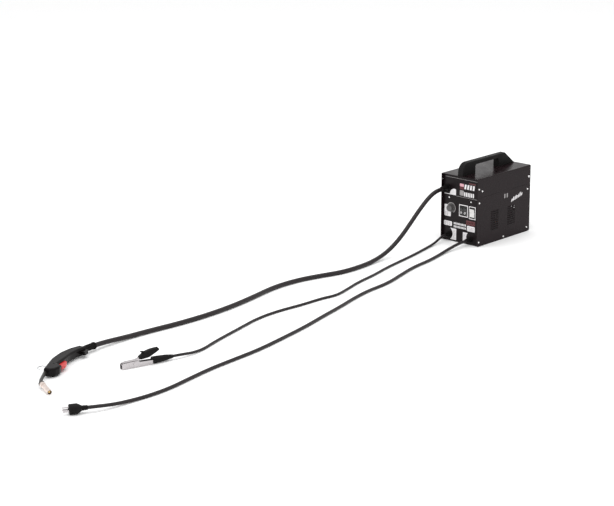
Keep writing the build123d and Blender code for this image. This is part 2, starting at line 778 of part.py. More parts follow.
with BuildPart() as feeder_base:
    with BuildSketch(side_plane(divider_x, (base_low_y + base_high_y) / 2, wire_z - 1, -1)):
        RectangleRounded(base_high_y - base_low_y, 62, 5)
    extrude(amount=base_plate)
    for low_y, high_y in guide_spans:
        with BuildSketch(side_plane(base_face, (low_y + high_y) / 2, wire_z - 0.5, -1)):
            Rectangle(high_y - low_y, guide_height)
        extrude(amount=base_face - feed_plane_x + guide_height / 2)
        with BuildSketch(Plane(origin=(feed_plane_x, low_y, wire_z), x_dir=(1, 0, 0), z_dir=(0, 1, 0))):
            Circle(guide_bore_r)
        extrude(amount=high_y - low_y, mode=Mode.SUBTRACT)
    with BuildSketch(side_plane(base_face, arm_y, arm_z, -1)):
        Circle(arm_pin_r)
    extrude(amount=base_face - arm_x + fit_gap)
    with BuildSketch(side_plane(arm_x - fit_gap, arm_y, arm_z, -1)):
        Circle(arm_pin_r + cap)
    extrude(amount=cap)
    with BuildSketch(side_plane(divider_x, feed_y, drive_z, -1)):
        Circle(shaft_r + 1)
    extrude(amount=base_plate, mode=Mode.SUBTRACT)
save(feeder_base, "feeder_base")

roll_x = feed_plane_x + roll_width / 2
roll_chamfer = 0.8

with BuildPart() as drive_roll:
    with BuildSketch(side_plane(roll_x, feed_y, drive_z, -1)):
        Circle(drive_roll_r)
    extrude(amount=roll_width)
    chamfer(drive_roll.edges(), roll_chamfer)
    with BuildSketch(side_plane(roll_x - roll_width, feed_y, drive_z, -1)):
        RegularPolygon(6, 6)
    extrude(amount=3)
    with BuildSketch(side_plane(roll_x, feed_y, drive_z)):
        Circle(shaft_r)
    extrude(amount=divider_x + sheet + motor_bore_depth - 1 - roll_x)
save(drive_roll, "drive_roll")

with BuildPart() as pressure_arm:
    with BuildSketch(side_plane(arm_x, 0, 0)):
        with BuildLine():
            Polyline((arm_y - 7, arm_z - 4), (arm_y, arm_z - 7), (feed_y - 4, arm_z - 5.5),
                     (arm_end_y, arm_z - 4.5), (arm_end_y, arm_z + 11), (arm_end_y - 14, arm_z + 13),
                     (feed_y, arm_z + 7), (arm_y, arm_z + 7), (arm_y - 7, arm_z + 4), close=True)
        make_face()
        with Locations(arm_pivot):
            Circle(arm_pin_r + running_fit, mode=Mode.SUBTRACT)
    extrude(amount=arm_width)
    with BuildSketch(side_plane(arm_x, feed_y, press_z, -1)):
        Circle(axle_r)
    extrude(amount=arm_x - roll_x + roll_width + fit_gap)
    with BuildSketch(side_plane(roll_x - roll_width - fit_gap, feed_y, press_z, -1)):
        Circle(axle_r + cap)
    extrude(amount=cap)
save(pressure_arm, "pressure_arm")

with BuildPart() as pressure_roll:
    with BuildSketch(side_plane(roll_x, feed_y, press_z, -1)):
        Circle(pressure_roll_r)
    extrude(amount=roll_width)
    chamfer(pressure_roll.edges(), roll_chamfer)
    with BuildSketch(side_plane(roll_x, feed_y, press_z, -1)):
        Circle(axle_r + running_fit)
    extrude(amount=roll_width, mode=Mode.SUBTRACT)
save(pressure_roll, "pressure_roll")

tension_r = 7.5
tension_height = 9.0

with BuildPart() as tension_knob:
    with BuildSketch(side_plane(arm_x - fit_gap, *tension_place, -1)):
        Circle(tension_r)
        with PolarLocations(tension_r, 8):
            Circle(1.3, mode=Mode.SUBTRACT)
    extrude(amount=tension_height)
save(tension_knob, "tension_knob")

# ==== inside: spool of wire on its spindle ======================================================
spool_mid_x = feed_plane_x + 3
spool_right = spool_mid_x + spool_width / 2
spool_left = spool_mid_x - spool_width / 2
spool_flange = 3.0
core_tube_r = 28.0
core_wall = 2.0
web = 4.0
spindle_base = 4.0

with BuildPart() as spool_spindle:
    with BuildSketch(side_plane(divider_x, *spool_centre, -1)):
        Circle(20)
    extrude(amount=spindle_base)
    with BuildSketch(side_plane(divider_x - spindle_base, *spool_centre, -1)):
        Circle(spindle_r)
    extrude(amount=divider_x - spindle_base - spool_left + fit_gap)
    with BuildSketch(side_plane(spool_left - fit_gap, *spool_centre, -1)):
        RegularPolygon(spindle_r + 5, 8)
    extrude(amount=3)
save(spool_spindle, "spool_spindle")

with BuildPart() as spool:
    with BuildSketch(side_plane(spool_right, *spool_centre, -1)):
        Circle(spool_hub_r)
        Circle(spindle_r + running_fit, mode=Mode.SUBTRACT)
    extrude(amount=spool_width)
    with BuildSketch(side_plane(spool_right, *spool_centre, -1)):
        Circle(core_tube_r)
        Circle(core_tube_r - core_wall, mode=Mode.SUBTRACT)
    extrude(amount=spool_width)
    with BuildSketch(side_plane(spool_mid_x + web / 2, *spool_centre, -1)):
        Circle(core_tube_r - 1)
        Circle(spool_hub_r - 1, mode=Mode.SUBTRACT)
    extrude(amount=web)
    for flange_x in (spool_right, spool_left + spool_flange):
        with BuildSketch(side_plane(flange_x, *spool_centre, -1)):
            Circle(spool_r)
            Circle(core_tube_r - 1, mode=Mode.SUBTRACT)
            with PolarLocations(coil_r - 4, 3):
                Circle(4, mode=Mode.SUBTRACT)
        extrude(amount=spool_flange)
save(spool, "spool")

coil_side_gap = 0.2

with BuildPart() as wire_coil:
    with BuildSketch(side_plane(spool_right - spool_flange - coil_side_gap, *spool_centre, -1)):
        Circle(coil_r)
        Circle(core_tube_r, mode=Mode.SUBTRACT)
    extrude(amount=spool_width - 2 * (spool_flange + coil_side_gap))
save(wire_coil, "wire_coil")

# ==== torch: two grip halves, trigger, switch and hook ==========================================
roll = radians(torch_roll)
torch_x, torch_y = torch_heading
torch_plane = Plane(origin=torch_foot, x_dir=(torch_x, torch_y, 0),
                    z_dir=(-torch_y * sin(roll), torch_x * sin(roll), cos(roll)))
grip_corners = ((0, -13, 4), (40, -26.5, 90), (85, -32, 150), (140, -28, 150), (190, -15, 120),
                (226, -5, 5), (222, 14, 8), (207, 26, 14), (188, 30, 20), (170, 26, 3.5), (167, 9, 2),
                (118, 6, 20), (78, 2, 120), (36, 4, 120), (0, 13, 4))
trigger_slot_mid = (142.75, 15.0)
trigger_slot_size = (48.5, 36.0)
trigger_pin_r = 1.5
screw_post = (176.0, 1.0)
post_r = 3.5
neck_start = (208.0, -5.5)
neck_tangent = 18.2
nozzle_start = (304.8, 40.1)
nozzle_angle = 52.0
neck_lap = 14.0
nozzle_rim = 0.9
collar_rise = 1.4
collar_length = 8.0
collar_notches = 10
collar_notch_r = 1.2


def inset(corners, wall):
    """The same outline moved inwards: each side by the wall, each corner's radius to suit."""
    moved = []
    ring = [corners[-1], *corners, corners[0]]
    for (x0, y0, _), (x1, y1, r), (x2, y2, _) in zip(ring, ring[1:], ring[2:]):
        come = Vector(x1 - x0, y1 - y0).normalized()
        leave = Vector(x2 - x1, y2 - y1).normalized()
        left = Vector(-come.Y - leave.Y, come.X + leave.X) * (wall / (1 + come.dot(leave)))
        convex = come.cross(leave).Z > 0
        moved.append((x1 + left.X, y1 + left.Y, r - wall if convex else r + wall))
    return moved


def closed_outline(corners):
    """Straight sides joined by tangent arcs, in the open line builder."""
    return FilletPolyline(*[(x, y) for x, y, _ in corners], radius=[r for _, _, r in corners], close=True)


def local_point(plane, x, y, z=0.0):
    return plane.from_local_coords(Vector(x, y, z))


def axis_plane(plane, x, y, angle):
    """Plane across an axis that leaves (x, y) at an angle in another plane."""
    along = plane.x_dir * cos(radians(angle)) + plane.y_dir * sin(radians(angle))
    return Plane(origin=local_point(plane, x, y), x_dir=plane.z_dir, z_dir=along)


nozzle_plane = axis_plane(torch_plane, *nozzle_start, nozzle_angle)
neck_end = nozzle_plane.offset(neck_lap).origin
neck_corner = nozzle_plane.offset(-neck_tangent).origin
neck_first = local_point(torch_plane, *neck_start)
neck_plane = Plane(origin=neck_first, z_dir=neck_corner - neck_first)

with BuildPart() as half_shell:
    with BuildSketch(torch_plane) as shell_face:
        with BuildLine():
            closed_outline(grip_corners)
        make_face()
    extrude(amount=torch_half)
    fillet(half_shell.faces().sort_by(Axis(torch_foot, torch_plane.z_dir))[-1].edges(), shell_edge)
    with BuildSketch(torch_plane):
        with BuildLine():
            closed_outline(inset(grip_corners, shell_wall))
        make_face()
    extrude(amount=torch_half - shell_wall, mode=Mode.SUBTRACT)
    with BuildSketch(torch_plane):
        with Locations(trigger_slot_mid):
            Rectangle(*trigger_slot_size)
    extrude(amount=trigger_width / 2 + fit_gap, mode=Mode.SUBTRACT)
    with BuildSketch(neck_plane):
        Circle(neck_r)
    extrude(amount=40, mode=Mode.SUBTRACT)

with BuildPart() as torch_shell_upper:
    add(half_shell.part)
    with BuildSketch(torch_plane.offset(torch_half - shell_wall)):
        with Locations(screw_post):
            Circle(post_r)
    extrude(amount=-(torch_half - shell_wall))
    with BuildSketch(torch_plane.offset(torch_half)):
        with Locations(screw_post):
            Circle(2.2)
    extrude(amount=-6, mode=Mode.SUBTRACT)
save(torch_shell_upper, "torch_shell_upper")

with BuildPart() as torch_shell_lower:
    mirror(half_shell.part, about=torch_plane)
    with BuildSketch(torch_plane.offset(shell_wall - torch_half)):
        with Locations(screw_post):
            Circle(post_r)
        with Locations(trigger_pivot):
            Circle(trigger_pin_r + 2)
    extrude(amount=torch_half - shell_wall - trigger_width / 2 - fit_gap)
    with BuildSketch(torch_plane.offset(shell_wall - torch_half)):
        with Locations(screw_post):
            Circle(post_r)
    extrude(amount=torch_half - shell_wall)
    with BuildSketch(torch_plane.offset(shell_wall - torch_half)):
        with Locations(trigger_pivot):
            Circle(trigger_pin_r)
    extrude(amount=torch_half - shell_wall + trigger_width / 2 + 2)
save(torch_shell_lower, "torch_shell_lower")

with BuildPart() as torch_trigger:
    with BuildSketch(torch_plane.offset(-trigger_width / 2)):
        with BuildLine():
            Polyline((120.5, 5), (121.5, 14), (130, 20), (146, 24), (163, 23.5), (165.5, 19), (165.5, 5),
                     (163, 0), (155, -1), (146, 1), (122, 2), close=True)
        make_face()
        with Locations(trigger_pivot):
            Circle(trigger_pin_r + running_fit, mode=Mode.SUBTRACT)
    extrude(amount=trigger_width)
save(torch_trigger, "torch_trigger")

switch_place = (139.0, -12.0)
switch_size = (22.0, 9.0)

with BuildPart() as trigger_switch:
    with BuildSketch(torch_plane.offset(shell_wall - torch_half)):
        with Locations(switch_place):
            Rectangle(*switch_size)
    extrude(amount=torch_half - shell_wall + 5)
    with BuildSketch(torch_plane.offset(-2)):
        with Locations((switch_place[0] + 3, switch_place[1] + switch_size[1] / 2 + 1)):
            Rectangle(5, 2)
    extrude(amount=4)
save(trigger_switch, "trigger_switch")

with BuildPart() as torch_neck:
    with BuildLine() as neck_line:
        FilletPolyline(neck_first, neck_corner, neck_end, radius=neck_bend_r)
    with BuildSketch(neck_plane):
        Circle(neck_r)
    sweep(path=neck_line.line)
    with BuildSketch(nozzle_plane):
        Circle(nozzle_bore_r)
    extrude(amount=neck_lap)
    with BuildSketch(nozzle_plane):
        Circle(nozzle_r + collar_rise)
        with PolarLocations(nozzle_r + collar_rise, collar_notches):
            Circle(collar_notch_r, mode=Mode.SUBTRACT)
    extrude(amount=-collar_length)
save(torch_neck, "torch_neck")

with BuildPart() as torch_nozzle:
    with BuildSketch(nozzle_plane):
        Circle(nozzle_r)
        Circle(nozzle_bore_r, mode=Mode.SUBTRACT)
    extrude(amount=nozzle_length)
    with BuildSketch(nozzle_plane):
        Circle(nozzle_r + nozzle_rim)
        Circle(nozzle_bore_r, mode=Mode.SUBTRACT)
    extrude(amount=neck_lap)
save(torch_nozzle, "torch_nozzle")

contact_tip_r = 3.4

with BuildPart() as contact_tip:
    with BuildSketch(nozzle_plane.offset(neck_lap)):
        Circle(contact_tip_r)
    extrude(amount=nozzle_length - neck_lap - 3)
    with BuildSketch(nozzle_plane.offset(nozzle_length - 3)):
        Circle(wire_d / 2 + 0.2)
    extrude(amount=-20, mode=Mode.SUBTRACT)
save(contact_tip, "contact_tip")

hook_r = 1.6
hook_route = ((184, -18.5), (184, -33), (198, -38), (212, -35), (213, -26))

with BuildPart() as torch_hook:
    with BuildLine() as hook_line:
        FilletPolyline(*[local_point(torch_plane, x, y) for x, y in hook_route], radius=3.5)
    with BuildSketch(Plane(origin=local_point(torch_plane, *hook_route[0]), z_dir=torch_plane.y_dir * -1)):
        Circle(hook_r)
    sweep(path=hook_line.line)
    with BuildSketch(torch_plane):
        add(shell_face.sketch_local)
    extrude(amount=hook_r * 2, both=True, mode=Mode.SUBTRACT)
save(torch_hook, "torch_hook")

with BuildPart() as torch_clip:
    with BuildSketch(torch_plane):
        with Locations((13, 15)):
            RectangleRounded(24, 13, 3)
        add(shell_face.sketch_local, mode=Mode.SUBTRACT)
    extrude(amount=6, both=True)
save(torch_clip, "torch_clip")

sleeve_base_r = sleeve_r - 1.3
sleeve_rings = 9
sleeve_ring = 3.0
sleeve_rim = 1.4
sleeve_rim_length = 5.0

with BuildPart() as torch_sleeve:
    before_end, cable_end = laid_out(torch_cable_route[-2:])
    cable_way = (cable_end - before_end).normalized()
    with BuildLine():
        sleeve_line = Spline(cable_end, Vector(*torch_foot), tangents=(cable_way, torch_plane.x_dir))
    with BuildSketch(Plane(origin=cable_end, z_dir=cable_way)):
        Circle(sleeve_base_r)
    sweep(path=sleeve_line)
    for ring in range(sleeve_rings):
        station = sleeve_line.location_at((ring + 0.5) / sleeve_rings)
        with BuildSketch(Plane(station)):
            Circle(sleeve_r)
        extrude(amount=sleeve_ring)
    with BuildSketch(Plane(origin=cable_end, z_dir=cable_way)):
        Circle(sleeve_r + sleeve_rim)
    extrude(amount=sleeve_rim_length)
save(torch_sleeve, "torch_sleeve")

# ==== earth clamp ===============================================================================
clamp_x, clamp_y = clamp_heading
clamp_plane = Plane(origin=clamp_nose, x_dir=(clamp_x, clamp_y, 0), z_dir=(clamp_y, -clamp_x, 0))
clamp_half = clamp_width / 2
body_top = ((0, 15), (4, 19), (30, 20.5), (52, 20.5), (62, 15.5), (clamp_body_length, 14))
lever_back = ((1.5, 12), (4, 20), (14, 23), (48, 24), (58, 28), (118, 46))
lever_under = ((116, 38.5), (70, 27.5), (58, 20), (50, 7.5), (36, 7), (22, 8), (7, 8))
lever_end = ((140, 48), (140, -20), (3, -20))
grip_corners_side = ((56, 24.5, 2), (66, 21.8, 8), (92, 24, 30), (121, 38.5, 8), (128, 43.5, 3),
                     (124, 50.5, 4), (96, 48.5, 60), (76, 42.5, 30), (60, 31, 8))
grip_ear = ((76, 38), (78, 45), (66, 47), (66, 44.5), (70, 42))

with BuildPart() as clamp_body:
    with BuildSketch(clamp_plane.offset(-clamp_half)):
        with BuildLine():
            Polyline((0, 0), *body_top, (clamp_body_length, 0), close=True)
        make_face()
    extrude(amount=clamp_width)
    with BuildSketch(clamp_plane.offset(clamp_sheet - clamp_half)):
        with Locations((clamp_body_length / 2, clamp_sheet + 20)):
            Rectangle(clamp_body_length + 2, 40)
    extrude(amount=clamp_width - 2 * clamp_sheet, mode=Mode.SUBTRACT)
    with BuildSketch(clamp_plane.offset(-clamp_half)):
        with Locations(clamp_pivot):
            Circle(rivet_r)
    extrude(amount=clamp_width, mode=Mode.SUBTRACT)
save(clamp_body, "clamp_body")

with BuildPart() as clamp_rivet:
    with BuildSketch(clamp_plane.offset(-clamp_half)):
        with Locations(clamp_pivot):
            Circle(rivet_r)
    extrude(amount=clamp_width)
    for way in (-1, 1):
        with BuildSketch(clamp_plane.offset(way * clamp_half)):
            with Locations(clamp_pivot):
                Circle(rivet_r + 2.4)
        extrude(amount=way * 1.3)
save(clamp_rivet, "clamp_rivet")

with BuildPart() as clamp_lever:
    with BuildSketch(clamp_plane.offset(-lever_half)):
        with BuildLine():
            Polyline(*lever_back, *lever_under, close=True)
        make_face()
    extrude(amount=2 * lever_half)
    with BuildSketch(clamp_plane.offset(clamp_sheet - lever_half)):
        with BuildLine():
            Polyline(*[(x, y - clamp_sheet) for x, y in lever_back[1:]], *lever_end, close=True)
        make_face()
    extrude(amount=2 * (lever_half - clamp_sheet), mode=Mode.SUBTRACT)
    with BuildSketch(clamp_plane.offset(-lever_half)):
        with Locations(clamp_pivot):
            Circle(rivet_r + running_fit)
    extrude(amount=2 * lever_half, mode=Mode.SUBTRACT)
save(clamp_lever, "clamp_lever")

with BuildPart() as clamp_grip:
    for way in (-1, 1):
        with BuildSketch(clamp_plane):
            with BuildLine():
                closed_outline(grip_corners_side)
            make_face()
        extrude(amount=way * grip_half)
    for end in (-1, 1):
        rim = clamp_grip.faces().sort_by(Axis(clamp_nose, clamp_plane.z_dir))[-1 if end > 0 else 0]
        fillet(rim.edges(), grip_edge)
    with BuildSketch(clamp_plane.offset(-ear_half)):
        with BuildLine():
            Polyline(*grip_ear, close=True)
        make_face()
    extrude(amount=2 * ear_half)
    with BuildSketch(clamp_plane.offset(-lever_half)):
        with BuildLine():
            Polyline(*lever_back, *lever_under, close=True)
        make_face()
    extrude(amount=2 * lever_half, mode=Mode.SUBTRACT)
save(clamp_grip, "clamp_grip")

spring_turns = 3
spring_pitch = 1.9

with BuildPart() as clamp_spring:
    spring_low = -spring_turns * spring_pitch / 2
    for turn in range(spring_turns + 1):
        ring_plane = Plane(origin=local_point(clamp_plane, *clamp_pivot, spring_low + turn * spring_pitch),
                           x_dir=clamp_plane.x_dir, z_dir=clamp_plane.z_dir)
        with BuildSketch(ring_plane.offset(-spring_pitch / 2)):
            Circle(spring_r + spring_wire_r)
            Circle(spring_r - spring_wire_r, mode=Mode.SUBTRACT)
        extrude(amount=spring_pitch)
save(clamp_spring, "clamp_spring")

sleeve_sections = ((clamp_body_length, 11.2), (118.0, 11.2), (150.0, 9.4), (168.0, 6.8),
                   (clamp_length, 5.6))

with BuildPart() as clamp_sleeve:
    for along, radius in sleeve_sections:
        with BuildSketch(axis_plane(clamp_plane, along, clamp_axis, 0)):
            Circle(radius)
    loft(ruled=True)
save(clamp_sleeve, "clamp_sleeve")

# ==== cords =====================================================================================
def cord(points, diameter, name):
    """A tube along straight runs joined by tangent arcs, each as large as its two runs allow."""
    radii = []
    for before, corner, after in zip(points, points[1:], points[2:]):
        turn = (corner - before).get_angle(after - corner)
        shorter = min((corner - before).length, (after - corner).length)
        radii.append(0.45 * shorter / tan(radians(turn / 2)))
    with BuildPart() as tube:
        with BuildLine():
            path = FilletPolyline(*points, radius=radii)
        with BuildSketch(Plane(origin=points[0], z_dir=points[1] - points[0])):
            Circle(diameter / 2)
        sweep(path=path)
    save(tube, name)
    length = path.length
    share = tube.part.volume / (pi * diameter ** 2 / 4 * length)
    print(f"{name}: length {length:.0f}, least radius {min(radii):.0f}")
    print(f"{name}: volume over section times length {share:.4f}")


clamp_lead_run = 32.0
clamp_entry = local_point(clamp_plane, clamp_length, clamp_axis)
clamp_lead = local_point(clamp_plane, clamp_length + clamp_lead_run, clamp_axis)

cord(laid_out(torch_cable_route), torch_cable_d, "torch_cable")
cord([*laid_out(earth_cable_route), clamp_lead, clamp_entry], earth_cable_d, "earth_cable")
cord(laid_out(mains_cord_route), mains_cord_d, "mains_cord")

# ==== mains plug ================================================================================
plug_lead, plug_start = laid_out(mains_cord_route[-2:])
plug_way = (plug_start - plug_lead).normalized()
plug_plane = Plane(origin=plug_start, x_dir=plug_way.cross(Vector(0, 0, 1)), z_dir=plug_way)
relief_ribs = 4
plug_face = plug_plane.offset(plug_relief + plug_length)

with BuildPart() as plug_body:
    with BuildSketch(plug_plane):
        Circle(6)
    with BuildSketch(plug_plane.offset(plug_relief)):
        Circle(7.5)
    loft()
    for rib in range(relief_ribs):
        with BuildSketch(plug_plane.offset(plug_relief * (rib + 0.4) / relief_ribs)):
            Circle(8)
        extrude(amount=2)
    with BuildSketch(plug_plane.offset(plug_relief)):
        Circle(9)
    with BuildSketch(plug_plane.offset(plug_relief + 12)):
        Circle(plug_radius)
    loft()
    with BuildSketch(plug_plane.offset(plug_relief + 12)):
        Circle(plug_radius)
    extrude(amount=plug_length - 12)
    chamfer(plug_body.faces().sort_by(Axis(plug_start, plug_way))[-1].edges(), 2)
save(plug_body, "plug_body")

with BuildPart() as plug_pins:
    with BuildSketch(plug_face):
        with Locations((-blade_spacing / 2, 3), (blade_spacing / 2, 3)):
            Rectangle(blade[0], blade[1])
    extrude(amount=blade[2])
    with BuildSketch(plug_face):
        with Locations((0, -7)):
            Circle(earth_pin_r)
    extrude(amount=blade[2] + 2)
save(plug_pins, "plug_pins")
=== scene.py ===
"""Looks of a small flux-core wire welder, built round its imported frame. Metres, +Z up."""
import math

import bpy
import numpy as np
from mathutils import Matrix, Vector


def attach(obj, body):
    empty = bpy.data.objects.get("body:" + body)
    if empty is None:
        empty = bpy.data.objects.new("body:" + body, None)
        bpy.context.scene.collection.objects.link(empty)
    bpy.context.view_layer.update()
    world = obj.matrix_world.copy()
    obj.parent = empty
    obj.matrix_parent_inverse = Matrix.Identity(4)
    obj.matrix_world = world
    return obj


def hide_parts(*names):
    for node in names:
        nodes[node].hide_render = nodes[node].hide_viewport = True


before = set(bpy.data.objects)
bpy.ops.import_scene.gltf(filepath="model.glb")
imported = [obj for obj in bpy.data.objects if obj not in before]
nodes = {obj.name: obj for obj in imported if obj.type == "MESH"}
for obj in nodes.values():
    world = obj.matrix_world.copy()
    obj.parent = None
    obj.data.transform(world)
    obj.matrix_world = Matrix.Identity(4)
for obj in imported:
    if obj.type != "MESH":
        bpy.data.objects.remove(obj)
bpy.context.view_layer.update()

# ---- camera --------------------------------------------------------------------------------------
# A long lens from in front and to the right of the machine, a little above it, tilted down
# so that the laid-out torch, clamp and plug run across the floor towards the left.
yaw, pitch, tilt = (math.radians(a) for a in (43.3, 16.1, -0.37))
camera = bpy.data.objects.new("camera", bpy.data.cameras.new("camera"))
bpy.context.collection.objects.link(camera)
ahead = Vector((-math.sin(yaw) * math.cos(pitch), math.cos(yaw) * math.cos(pitch), -math.sin(pitch)))
level = Vector((math.cos(yaw), math.sin(yaw), 0))
above = level.cross(ahead)
right = level * math.cos(tilt) + above * math.sin(tilt)
up = above * math.cos(tilt) - level * math.sin(tilt)
turn = Matrix((right, up, -ahead)).transposed()
camera_place = (4.18, -5.43, 1.90)
camera.matrix_world = Matrix.Translation(camera_place) @ turn.to_4x4()
camera.data.sensor_width = 36
camera.data.lens = 108.47
camera.data.clip_end = 60
bpy.context.scene.camera = camera
bpy.context.scene.view_settings.view_transform = "Standard"

# ---- the three cords -----------------------------------------------------------------------------
# Round black rubber sheath on all three: the thick torch cable with its wire liner, the thin
# earth cable and the mains lead. Each lies loose on the floor along its whole length.


def link_group(name, inputs, outputs):
    """An empty shader group with float inputs (name, default) and named outputs."""
    group = bpy.data.node_groups.new(name, "ShaderNodeTree")
    for label, default in inputs:
        socket = group.interface.new_socket(label, in_out="INPUT", socket_type="NodeSocketFloat")
        socket.default_value = default
    for label in outputs:
        group.interface.new_socket(label, in_out="OUTPUT", socket_type="NodeSocketFloat")
    return group, group.nodes.new("NodeGroupInput"), group.nodes.new("NodeGroupOutput")


def wire(tree, start, start_socket, end, end_socket):
    """Join one node's output to another node's input."""
    tree.links.new(start.outputs[start_socket], end.inputs[end_socket])


def make_grain():
    """Moulded or sprayed skin: coarse clouds and fine noise, both on object coordinates.
    Height is the fine noise; Tone is the clouds; Rough runs from Low to High with the clouds."""
    group, given, result = link_group(
        "surface_grain",
        (("Scale", 400), ("Clouds", 14), ("Low", 0.4), ("High", 0.6)),
        ("Height", "Tone", "Rough"))
    place = group.nodes.new("ShaderNodeTexCoord")
    fine = group.nodes.new("ShaderNodeTexNoise")
    fine.inputs["Detail"].default_value = 3
    clouds = group.nodes.new("ShaderNodeTexNoise")
    clouds.inputs["Detail"].default_value = 4
    clouds.inputs["Roughness"].default_value = 0.65
    spread = group.nodes.new("ShaderNodeMapRange")
    for texture, scale in ((fine, "Scale"), (clouds, "Clouds")):
        wire(group, place, "Object", texture, "Vector")
        wire(group, given, scale, texture, "Scale")
    wire(group, clouds, "Fac", spread, "Value")
    spread.inputs["From Min"].default_value = 0.35
    spread.inputs["From Max"].default_value = 0.65
    wire(group, given, "Low", spread, "To Min")
    wire(group, given, "High", spread, "To Max")
    wire(group, fine, "Fac", result, "Height")
    wire(group, clouds, "Fac", result, "Tone")
    wire(group, spread, "Result", result, "Rough")
    return group


def make_scuffs():
    """Handling marks: stretched noise cut off near its top, so only thin sparse streaks are left."""
    group, given, result = link_group("handling_scuffs", (("Scale", 30), ("Amount", 0.5)), ("Mask",))
    place = group.nodes.new("ShaderNodeTexCoord")
    stretch = group.nodes.new("ShaderNodeMapping")
    stretch.inputs["Scale"].default_value = (1, 6, 1.6)
    stretch.inputs["Rotation"].default_value = (0.4, 0.2, 0.9)
    streaks = group.nodes.new("ShaderNodeTexNoise")
    streaks.inputs["Detail"].default_value = 6
    streaks.inputs["Roughness"].default_value = 0.7
    cut = group.nodes.new("ShaderNodeMapRange")
    cut.inputs["From Min"].default_value = 0.64
    cut.inputs["From Max"].default_value = 0.72
    scale = group.nodes.new("ShaderNodeMath")
    scale.operation = "MULTIPLY"
    wire(group, place, "Object", stretch, "Vector")
    wire(group, stretch, "Vector", streaks, "Vector")
    wire(group, given, "Scale", streaks, "Scale")
    wire(group, streaks, "Fac", cut, "Value")
    wire(group, cut, "Result", scale, 0)
    wire(group, given, "Amount", scale, 1)
    wire(group, scale, "Value", result, "Mask")
    return group


grain = make_grain()
scuffs = make_scuffs()

# Sockets of a colour Mix node: the two colours in, and the mixed colour out.
MIX_A, MIX_B, MIX_OUT = 6, 7, 2


def mix_colour(tree, low, high):
    """Colour that runs from low to high with its factor."""
    mix = tree.nodes.new("ShaderNodeMix")
    mix.data_type = "RGBA"
    mix.inputs[MIX_A].default_value = (*low, 1)
    mix.inputs[MIX_B].default_value = (*high, 1)
    return mix


def finish_of(name, low, high, rough, scale, depth, metallic=0.0, coat=0.0, marks=0.25, marked=None,
              clouds=14.0, specular=0.5):
    """A material with grain, cloudy tone and roughness, and a few scuffs of another colour."""
    material = bpy.data.materials.new(name)
    material.use_nodes = True
    tree = material.node_tree
    shader = tree.nodes["Principled BSDF"]
    shader.inputs["Metallic"].default_value = metallic
    shader.inputs["Coat Weight"].default_value = coat
    shader.inputs["Coat Roughness"].default_value = 0.2
    shader.inputs["Specular IOR Level"].default_value = specular
    skin = tree.nodes.new("ShaderNodeGroup")
    skin.node_tree = grain
    skin.inputs["Scale"].default_value = scale
    skin.inputs["Clouds"].default_value = clouds
    skin.inputs["Low"].default_value = rough[0]
    skin.inputs["High"].default_value = rough[1]
    tone = mix_colour(tree, low, high)
    rubbed = tree.nodes.new("ShaderNodeGroup")
    rubbed.node_tree = scuffs
    rubbed.inputs["Scale"].default_value = 26
    rubbed.inputs["Amount"].default_value = marks
    over = mix_colour(tree, low, marked or tuple(min(1, 2.2 * c + 0.02) for c in high))
    wire(tree, skin, "Tone", tone, "Factor")
    wire(tree, tone, MIX_OUT, over, MIX_A)
    wire(tree, rubbed, "Mask", over, "Factor")
    wire(tree, over, MIX_OUT, shader, "Base Color")
    wire(tree, skin, "Rough", shader, "Roughness")
    bump = tree.nodes.new("ShaderNodeBump")
    bump.inputs["Strength"].default_value = 0.6
    bump.inputs["Distance"].default_value = depth
    wire(tree, skin, "Height", bump, "Height")
    wire(tree, bump, "Normal", shader, "Normal")
    return material


def dress(material, *names):
    """Put one material on every slot of the named frame parts."""
    for name in names:
        for slot in nodes[name].material_slots:
            slot.material = material


sheath = finish_of("cord_sheath", (0.007, 0.005, 0.0055), (0.018, 0.013, 0.0145), (0.34, 0.52),
                   700, 0.00015, marks=0.15, specular=0.28)


def lay_cord(name, route, diameter, cad_node, **facts):
    """A round cord: a quadratic B-spline whose control points are the route's corners in
    millimetres, with a circle of the given diameter in metres carried along it."""
    curve = bpy.data.curves.new(name, "CURVE")
    curve.dimensions = "3D"
    spline = curve.splines.new("NURBS")
    spline.points.add(len(route) - 1)
    spline.points.foreach_set("co", np.c_[np.array(route, float) / 1000, np.ones(len(route))].ravel())
    spline.order_u = 3
    spline.use_endpoint_u = True
    spline.resolution_u = 8
    curve.bevel_depth = diameter / 2
    curve.bevel_resolution = 5
    curve.use_fill_caps = True
    curve.materials.append(sheath)
    piece = bpy.data.objects.new(name, curve)
    bpy.context.collection.objects.link(piece)
    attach(piece, "case")
    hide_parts(cad_node)


# Height of each cord's middle where it lies on the floor, in millimetres.
torch_lies = 8.2
earth_lies = 4.8
mains_lies = 5.65

